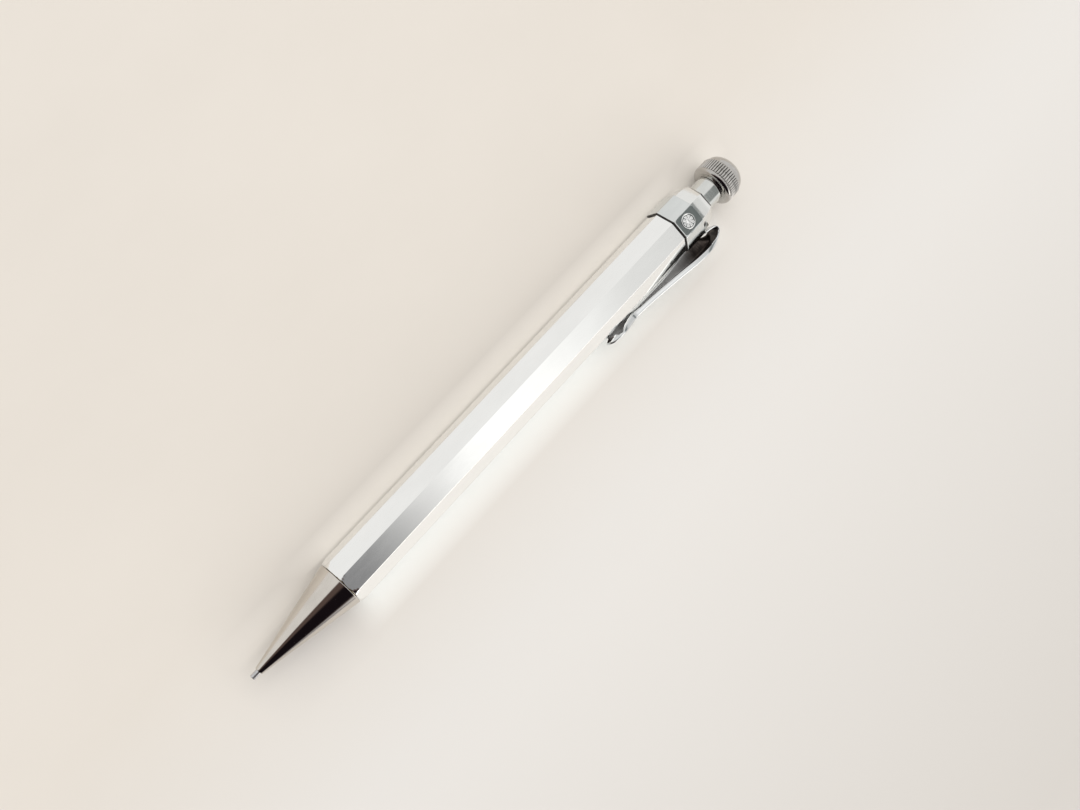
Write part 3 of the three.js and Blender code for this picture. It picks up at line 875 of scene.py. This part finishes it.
def thread_rows(start, end, radius):
    """A length of thread that fades out at each end."""
    per_turn = 10
    rows = round((end - start) / THREAD_PITCH * per_turn)
    root = radius - THREAD_DEPTH
    sections = []
    for i in range(rows + 1):
        depth = THREAD_DEPTH * min(1.0, i / per_turn, (rows - i) / per_turn)
        sections.append(thread_loop(start + (end - start) * i / rows, root + depth, depth))
    return sections


def make_front_connector():
    """The threaded brass coupling between cone and barrel, with the clutch ring's stop inside."""
    start, end = span("front_connector")
    outer = reach("front_connector")
    plain_start = BARREL_FRONT - 0.05 * MM
    plain_end = plain_start + 0.65 * MM
    chamfer = 0.1 * MM
    front_bore, stop_bore, spring_bore = 2.0 * MM, 1.45 * MM, 2.3 * MM
    stop_front = SPRING_SEAT - 1.2 * MM
    sections = thread_rows(start, plain_start, outer)
    for x in (plain_start + 0.05 * MM, plain_end - 0.05 * MM):
        sections.append(circle(x, outer, even_angles(96)))
    sections += thread_rows(plain_end, end, outer)
    for x, r in (
        (end, spring_bore + chamfer),
        (end - chamfer, spring_bore),
        (SPRING_SEAT, spring_bore),
        (SPRING_SEAT, stop_bore),
        (stop_front, stop_bore),
        (stop_front, front_bore),
        (start + chamfer, front_bore),
        (start, front_bore + chamfer),
    ):
        sections.append(circle(x, r, even_angles(96)))
    return loft("threaded_front_connector", sections, ring=True)


JAW_COUNT = 3
JAW_GAP = 0.24 * MM


def jaw_loop(x, outer, inner, middle):
    """A sector between two radii, its straight sides half a slot away from the next jaws."""
    steps = 14
    loop = []
    for radius, order in ((outer, 1), (inner, -1)):
        half = TURN / JAW_COUNT / 2 - math.asin(min(0.95, JAW_GAP / 2 / radius))
        for k in range(steps + 1):
            loop.append(around(x, radius, middle + order * half * (2 * k / steps - 1)))
    return loop


def make_jaw(number, node):
    """One arm of the collet: a toothed head on a springy stem."""
    front, root = span(node)
    middle = math.pi - number * TURN / JAW_COUNT
    head, stem, grip = 1.3 * MM, 0.95 * MM, 0.3 * MM
    tooth, ease = 0.04 * MM, 0.03 * MM
    # Rows from the mouth back: mm behind it, outer radius and inner radius.
    rows = [(0.0, head - 0.24 * MM, grip + 0.1 * MM), (0.05, head - 0.2 * MM, grip + 0.05 * MM)]
    rows += [(0.3, head - ease, grip), (0.36, head, grip)]
    for k in range(5):
        x = 0.42 + 0.16 * k
        rows += [(x, head, grip + tooth), (x + 0.08, head, grip)]
    rows += [(1.4, head, grip), (1.44, head - ease, grip), (1.8, stem + ease, grip)]
    rows += [(1.9, stem, grip), (3.8, stem, grip)]
    sections = [jaw_loop(front + x * MM, outer, inner, middle) for x, outer, inner in rows]
    sections.append(jaw_loop(root - 0.05 * MM, stem, grip, middle))
    sections.append(jaw_loop(root, stem - 0.04 * MM, grip + 0.04 * MM, middle))
    return loft(f"collet_jaw_{number + 1}", sections, smooth_angle=35)


def make_chuck_body():
    """The collet's shank: a plain stem and a barbed plug that holds the lead tube."""
    start, end = span("chuck_body")
    stem, plug, bore = 1.1 * MM, reach("chuck_body"), 0.45 * MM
    step = span("lead_tube")[0] - 0.1 * MM
    profile = [(start, bore), (start, stem), (step, stem), (step, plug)]
    barb_length, barb_depth = 1.4 * MM, 0.16 * MM
    for k in range(3):
        x = step + (k + 0.8) * barb_length
        profile += [(x, plug), (x + 0.05 * MM, plug - barb_depth), (x + 0.3 * MM, plug - barb_depth)]
        profile += [(x + 0.6 * MM, plug)]
    profile += [(end - 0.3 * MM, plug), (end, plug - 0.15 * MM), (end, bore)]
    return turned_ring("turned_chuck_body", profile, sides=72)


def make_return_spring():
    """A coil spring with one closed turn at each end."""
    radius, wire, coils = 1.62 * MM, 0.13 * MM, 9
    open_coils = coils - 2
    start, end = span("return_spring")
    low, high = start + wire, end - wire
    per_turn = 36
    closed_pitch = 2.1 * wire
    open_pitch = (high - low - 2 * closed_pitch) / open_coils
    sections = []
    for i in range(coils * per_turn + 1):
        turns = i / per_turn
        x = low + closed_pitch * min(turns, 1) + open_pitch * min(max(turns - 1, 0), open_coils)
        x += closed_pitch * max(turns - 1 - open_coils, 0)
        a = TURN * turns
        loop = []
        for b in even_angles(10):
            r = radius + wire * math.sin(b)
            loop.append(on_axis(x + wire * math.cos(b), r * math.cos(a), r * math.sin(a)))
        sections.append(loop)
    return loft("coiled_return_spring", sections, smooth_angle=60)


place(make_front_connector(), "barrel_unit", ["front_connector"], "brass", turned_brass)
for number in range(JAW_COUNT):
    node = f"chuck_jaw_{number + 1}"
    place(make_jaw(number, node), f"jaw_{number + 1}", [node], "brass", turned_brass)
place(make_chuck_body(), "push_unit", ["chuck_body"], "brass", turned_brass)
clutch = tube("turned_clutch_ring", "clutch_ring", 1.15 * MM, sides=72, edge=0.18 * MM)
place(clutch, "clutch", ["clutch_ring"], "brass", turned_brass)
spring = place(make_return_spring(), "barrel_unit", ["return_spring"], "steel", drawn_steel)
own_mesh(spring)


# ---------------------------------------------------------------- lead store


def make_lead(name, node, worn):
    """A drawn lead, lightly rounded at both ends, or worn to a blunt point in front."""
    low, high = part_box(node)
    radius = (high.z - low.z) / 2
    centre = Vector((0, (low.y + high.y) / 2 - AXIS.y, (low.z + high.z) / 2 - AXIS.z))
    tip = ((0.0, 0.3), (0.04, 0.8), (0.12, 1.0))
    if worn:
        tip = ((0.0, 0.45), (0.03, 0.75), (0.1, 0.97), (0.2, 1.0))
    profile = [(low.x + x * MM, share) for x, share in tip]
    profile += [(low.x + (high.x - low.x) * share, 1.0) for share in (0.25, 0.5, 0.75)]
    profile += [(high.x - 0.05 * MM, 1.0), (high.x, 0.85)]
    sections = []
    for x, share in profile:
        sections.append([p + centre for p in circle(x, radius * share, even_angles(32))])
    return loft(name, sections, smooth_angle=50)


def squared(value):
    """A sine or cosine pushed out, which makes a round section nearly square."""
    return math.copysign(abs(value) ** 0.4, value)


def make_grip_ring():
    """A split ring of spring steel with round edges."""
    start, end = span("cap_grip_ring")
    outer, inner = 2.0 * MM, 1.62 * MM
    middle, half = (start + end) / 2, (end - start) / 2
    centre_radius, thick = (outer + inner) / 2, (outer - inner) / 2
    gap = 0.3 * MM / outer
    steps = 72
    sections = []
    for i in range(steps + 1):
        angle = gap + (TURN - 2 * gap) * i / steps
        loop = []
        for b in even_angles(20):
            x, r = middle + half * squared(math.cos(b)), centre_radius + thick * squared(math.sin(b))
            loop.append(around(x, r, angle))
        sections.append(loop)
    return loft("split_grip_ring", sections, smooth_angle=50)


def make_eraser():
    """A soft cylinder with rubbed round edges."""
    start, end = span("eraser")
    radius, core = reach("eraser"), 0.1 * MM
    profile = [
        (start, core),
        (start, radius - 0.25 * MM),
        (start + 0.2 * MM, radius),
        ((start + end) / 2, radius - 0.02 * MM),
        (end - 0.35 * MM, radius),
        (end, radius - 0.4 * MM),
        (end, core),
    ]
    angles = even_angles(64)
    return loft("moulded_eraser", [circle(x, r, angles) for x, r in rounded(profile, 0.2 * MM)])


place(make_lead("worn_working_lead", "working_lead", True), "lead", ["working_lead"], "graphite", graphite)
for number in range(3):
    node = f"spare_lead_{number + 1}"
    spare = make_lead(f"stored_spare_lead_{number + 1}", node, False)
    place(spare, "push_unit", [node], "graphite", graphite)
lead_tube = tube("drawn_lead_tube", "lead_tube", 1.5 * MM, sides=72, edge=0.12 * MM)
place(lead_tube, "push_unit", ["lead_tube"], "acetal", acetal)
collar = tube("turned_stop_collar", "stop_collar", reach("push_neck") + 0.05 * MM, edge=0.15 * MM)
place(collar, "push_unit", ["stop_collar"], "brass", turned_brass)
place(make_eraser(), "push_unit", ["eraser"], "eraser_rubber", eraser_rubber)
place(make_grip_ring(), "cap", ["cap_grip_ring"], "steel", drawn_steel)


# ---------------------------------------------------------------- room, light and camera

# Light and shade painted on the floor: a gradient across the room, and the light and shade that the
# polished holder would throw beside it. Each area has its colour, its strength, then how it fades in along
# an axis, from nothing at the first distance to full at the second, in mm: X from the barrel's front and Y
# from the holder's axis.
FLOOR_PAINTED_LIGHT_AND_SHADE = (
    # painted light and shade: paler and cooler on the window side of the room, then darker further out
    ((0.635, 0.615, 0.59), (1.0, ("Y", 10, -30))),
    ((0.53, 0.505, 0.475), (1.0, ("Y", -40, -150))),
    # light thrown down beside the barrel on the window side
    ((0.91, 0.93, 0.91), (1.0, ("Y", -12, -5), ("X", -4, 3), ("X", 98, 86), ("Y", 0, -2))),
    # and on the other side, by the barrel, the cone and the neck
    (
        (0.91, 0.865, 0.80),
        (1.0, ("Y", 8, 4.3), ("Y", 3.4, 4.2), ("X", -8, 3), ("X", 98, 88)),
        (0.6, ("X", 3, -3), ("X", -22, -8), ("Y", 0.8, 1.8), ("Y", 6.5, 3)),
        (0.6, ("X", 88, 94), ("X", 108, 98), ("Y", 0.8, 1.8), ("Y", 6.5, 3)),
    ),
    # the shade of the cone
    ((0.555, 0.53, 0.505), (1.0, ("X", 1, -3), ("X", -24, -12), ("Y", -14, -4), ("Y", 1, -3))),
)


def make_floor():
    """A wide pale painted board just under the part, with light and shade painted on it beside the holder.
    """
    size = 1.6
    z = -0.02 * MM
    mesh = bpy.data.meshes.new("floor")
    corners = [(-size, -size, z), (size, -size, z), (size, size, z), (-size, size, z)]
    mesh.from_pydata(corners, [], [(0, 1, 2, 3)])
    floor = bpy.data.objects.new("floor", mesh)
    bpy.context.scene.collection.objects.link(floor)
    m = Nodes("floor_with_painted_light")
    m.set(Roughness=0.38)
    axes = {"X": (m.axis("X"), BARREL_FRONT), "Y": (m.axis("Y"), AXIS.y)}

    def area(strength, *fades):
        """The product of an area's fades, times its strength."""
        covered = None
        for axis, outer, inner in fades:
            distance, origin = axes[axis]
            full = strength if covered is None else 1
            fade = m.remap(distance, origin + outer * MM, origin + inner * MM, 0, full)
            covered = fade if covered is None else joined(m.tree, "MULTIPLY", covered, fade)
        return covered

    cloud = m.noise((9, 14, 1), detail=5.0, roughness=0.6)
    colour = m.ramp(cloud, [(0.3, (0.60, 0.56, 0.51)), (0.7, (0.635, 0.595, 0.545))])
    for tint, first, *others in FLOOR_PAINTED_LIGHT_AND_SHADE:
        covered = area(*first)
        for other in others:
            covered = joined(m.tree, "MAXIMUM", covered, area(*other))
        colour = mixed(m.tree, covered, colour, tint)
    m.link(colour, m.shader.inputs["Base Color"])
    mesh.materials.append(m.material)


ROOM = (0.92, 0.915, 0.905)

# Round soft-edged patches of the room: the direction of the middle, the angles from it at which
# the patch begins and is full, in degrees, and the colour.
WINDOW_SIDE = (
    ((-0.6, -0.78, 0.15), 38, 28, (0.36, 0.35, 0.36)),  # the dim corner beside the window
    ((0.12, -0.97, 0.2), 22, 12, (2.1, 2.06, 2.0)),  # the window
    ((0.265, -0.26, 0.93), 7.2, 2.8, (1.2, 1.2, 1.19)),  # the brightest spot of the ceiling
    ((0.62, -0.26, 0.74), 25, 10, (0.79, 0.79, 0.78)),  # the duller ceiling further away
)
ONLOOKER = (
    ((-0.609, -0.3235, 0.7243), 48, 41.2, (0.265, 0.265, 0.27)),  # grey clothes
    ((-0.825, -0.274, 0.495), 54.5, 51, (0.12, 0.085, 0.075)),  # their brown edge
    ((-0.825, -0.379, 0.421), 49, 43, (0.01, 0.007, 0.009)),  # the dark middle
)
# The wall fills the directions between these edges: each has an axis, and the share of the
# direction along it at which the wall begins and is full.
WALL_EDGES = (
    ((0, -0.469, 0.883), 0.64, 0.75),
    ((1, 0, 0), 0.452, 0.462),
    ((1, 0, 0), 0.56, 0.52),
)
WALL = (0.27, 0.285, 0.28)


def make_room_light():
    """A soft bright room with a window low on the -Y side, the dark shape of whoever looks down
    from the -X side, and a grey wall far off on the +X side."""
    world = bpy.data.worlds.new("room")
    bpy.context.scene.world = world
    world.use_nodes = True
    tree = world.node_tree
    direction = tree.nodes.new("ShaderNodeTexCoord").outputs["Generated"]

    def along(towards, outer, inner):
        """0 to 1 as the share of a direction along an axis goes from outer to inner."""
        dot = tree.nodes.new("ShaderNodeVectorMath")
        dot.operation = "DOT_PRODUCT"
        dot.inputs[1].default_value = Vector(towards).normalized()
        tree.links.new(direction, dot.inputs[0])
        step = tree.nodes.new("ShaderNodeMapRange")
        step.interpolation_type = "SMOOTHSTEP"
        step.inputs["From Min"].default_value = outer
        step.inputs["From Max"].default_value = inner
        tree.links.new(dot.outputs["Value"], step.inputs["Value"])
        return step.outputs["Result"]

    def add_patches(light, patches):
        for towards, outer, inner, colour in patches:
            edges = (math.cos(math.radians(angle)) for angle in (outer, inner))
            light = mixed(tree, along(towards, *edges), light, colour)
        return light

    light = add_patches(ROOM, WINDOW_SIDE)
    wall = along(*WALL_EDGES[0])
    for edge in WALL_EDGES[1:]:
        wall = joined(tree, "MULTIPLY", wall, along(*edge))
    light = add_patches(mixed(tree, wall, light, WALL), ONLOOKER)
    tree.links.new(light, tree.nodes["Background"].inputs["Color"])


def make_daylight():
    """A wide soft light from above for matt things, leaning to the window side."""
    light = bpy.data.lights.new("daylight", "SUN")
    light.energy = 2.4
    light.angle = math.radians(120)
    light.color = (1.0, 0.985, 0.96)
    lamp = bpy.data.objects.new("daylight", light)
    lamp.visible_glossy = False
    bpy.context.scene.collection.objects.link(lamp)
    lamp.rotation_euler = Vector((0.1, -0.25, 0.96)).to_track_quat("Z", "Y").to_euler()


def make_camera():
    """Looks down at the holder from the photograph's place, found from the holder's straight edges."""
    camera_data = bpy.data.cameras.new("camera")
    camera_data.sensor_width = 36
    camera_data.lens = 39.62
    camera_data.clip_start = 5 * MM
    camera = bpy.data.objects.new("camera", camera_data)
    bpy.context.scene.collection.objects.link(camera)
    right = Vector((0.65569, -0.65548, 0.37473))
    down = Vector((-0.70935, -0.70480, 0.00835))
    ahead = Vector((0.25864, -0.27129, -0.92710))
    rotation = Matrix((right, -down, -ahead)).transposed().to_4x4()
    place_from_axis = Vector((-49.905, 51.83, 191.84)) * MM
    camera.matrix_world = Matrix.Translation(place_from_axis + AXIS) @ rotation
    bpy.context.scene.camera = camera


make_floor()
make_room_light()
make_daylight()
make_camera()
bpy.context.scene.view_settings.view_transform = "Standard"
